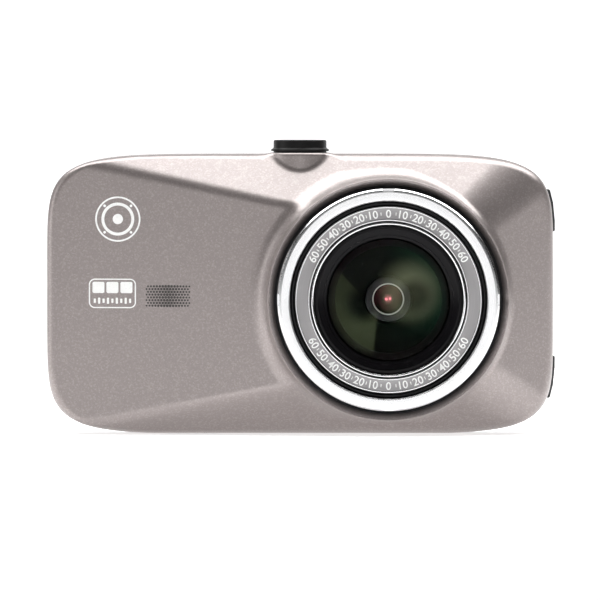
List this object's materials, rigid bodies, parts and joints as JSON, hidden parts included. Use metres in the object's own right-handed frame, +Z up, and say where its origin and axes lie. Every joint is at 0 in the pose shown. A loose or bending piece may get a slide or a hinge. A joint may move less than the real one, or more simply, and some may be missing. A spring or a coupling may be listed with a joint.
{
  "type": "dash camera",
  "caption": "Dash camera with an off-centre wide-angle lens in a faceted metallic case, rear screen and keys, side keys and a turning mount stub on top.",
  "frame": {"origin": "centre of the case's footprint, on the flat underside", "axes": "+X to the right when the lens faces the viewer, -Y the way the lens looks, +Z up through the mount stub"},
  "size_m": [0.1034, 0.031, 0.0597],
  "materials": {
    "titanium_paint": "satin metallic paint on moulded plastic, warm titanium grey with very fine flake",
    "bright_ring": "bright anodised aluminium with fine circular brushing",
    "satin_ring": "satin bead-blasted aluminium",
    "gloss_black": "gloss black polycarbonate",
    "black_texture": "fine-textured black ABS",
    "turret_plastic": "satin black nylon",
    "key_plastic": "satin charcoal plastic",
    "coated_glass": "polished glass with a green multi-layer coating",
    "screen_glass": "smoked glass over a black screen",
    "circuit_board": "green solder mask",
    "chip_epoxy": "matt moulded epoxy",
    "silicone_pad": "soft thermal silicone",
    "tinned_steel": "tinned sheet steel",
    "zinc_screw": "black zinc-plated steel",
    "copper_winding": "lacquered copper",
    "battery_foil": "crimped aluminium laminate",
    "card_plastic": "matt black card plastic",
    "light_pipe": "clear acrylic"
  },
  "bodies": {
    "case": {"front_shell": "titanium_paint", "rear_cover": "black_texture", "lens_bezel_ring": "bright_ring", "groove_ring": "black_texture", "name_ring": "satin_ring", "inner_trim_ring": "bright_ring", "lens_cone": "gloss_black", "front_lens": "coated_glass", "lens_barrel": "black_texture", "inner_lens_ring": "satin_ring", "middle_lens": "coated_glass", "aperture_disc": "black_texture", "rear_lens": "coated_glass", "lens_mount": "black_texture", "lens_mount_screw_1": "zinc_screw", "lens_mount_screw_2": "zinc_screw", "infrared_filter": "coated_glass", "image_sensor": "chip_epoxy", "main_board": "circuit_board", "processor": "chip_epoxy", "thermal_pad": "silicone_pad", "shield_can": "tinned_steel", "memory_chip": "chip_epoxy", "power_coil": "copper_winding", "battery": "battery_foil", "loudspeaker": "chip_epoxy", "microphone": "tinned_steel", "usb_socket": "tinned_steel", "card_socket": "tinned_steel", "screen_window": "screen_glass", "screen_panel": "screen_glass", "screen_frame": "tinned_steel", "screen_flex": "copper_winding", "power_switch": "tinned_steel", "lock_switch": "tinned_steel", "power_light_pipe": "light_pipe", "record_light_pipe": "light_pipe", "power_light_diode": "light_pipe", "record_light_diode": "light_pipe", "case_screw_1": "zinc_screw", "case_screw_2": "zinc_screw", "case_screw_3": "zinc_screw", "case_screw_4": "zinc_screw", "menu_switch": "tinned_steel", "mode_switch": "tinned_steel", "up_switch": "tinned_steel", "ok_switch": "tinned_steel", "down_switch": "tinned_steel"},
    "mount_stub": {"mount_turret": "turret_plastic", "swivel_washer": "tinned_steel", "swivel_screw": "zinc_screw"},
    "memory_card_body": {"memory_card": "card_plastic"},
    "power_key_body": {"power_key": "black_texture"},
    "lock_key_body": {"lock_key": "black_texture"},
    "menu_key_body": {"menu_key": "key_plastic"},
    "mode_key_body": {"mode_key": "key_plastic"},
    "up_key_body": {"up_key": "key_plastic"},
    "ok_key_body": {"ok_key": "key_plastic"},
    "down_key_body": {"down_key": "key_plastic"}
  },
  "joints": [
    {"name": "stub_swivel", "type": "hinge", "parent": "case", "child": "mount_stub", "pos_m": [0, 0.0034, 0.057], "axis": [0, 0, 1], "continuous": true},
    {"name": "card_slide", "type": "slide", "parent": "case", "child": "memory_card_body", "axis": [-1, 0, 0], "range_m": [0, 0.012]},
    {"name": "power_key_press", "type": "slide", "parent": "case", "child": "power_key_body", "axis": [-1, 0, 0], "range_m": [0, 0.0005], "stiffness_N_per_m": 2000},
    {"name": "lock_key_press", "type": "slide", "parent": "case", "child": "lock_key_body", "axis": [-1, 0, 0], "range_m": [0, 0.0005], "stiffness_N_per_m": 2000},
    {"name": "menu_key_press", "type": "slide", "parent": "case", "child": "menu_key_body", "axis": [0, -1, 0], "range_m": [0, 0.0004], "stiffness_N_per_m": 2000},
    {"name": "mode_key_press", "type": "slide", "parent": "case", "child": "mode_key_body", "axis": [0, -1, 0], "range_m": [0, 0.0004], "stiffness_N_per_m": 2000},
    {"name": "up_key_press", "type": "slide", "parent": "case", "child": "up_key_body", "axis": [0, -1, 0], "range_m": [0, 0.0004], "stiffness_N_per_m": 2000},
    {"name": "ok_key_press", "type": "slide", "parent": "case", "child": "ok_key_body", "axis": [0, -1, 0], "range_m": [0, 0.0004], "stiffness_N_per_m": 2000},
    {"name": "down_key_press", "type": "slide", "parent": "case", "child": "down_key_body", "axis": [0, -1, 0], "range_m": [0, 0.0004], "stiffness_N_per_m": 2000}
  ]
}
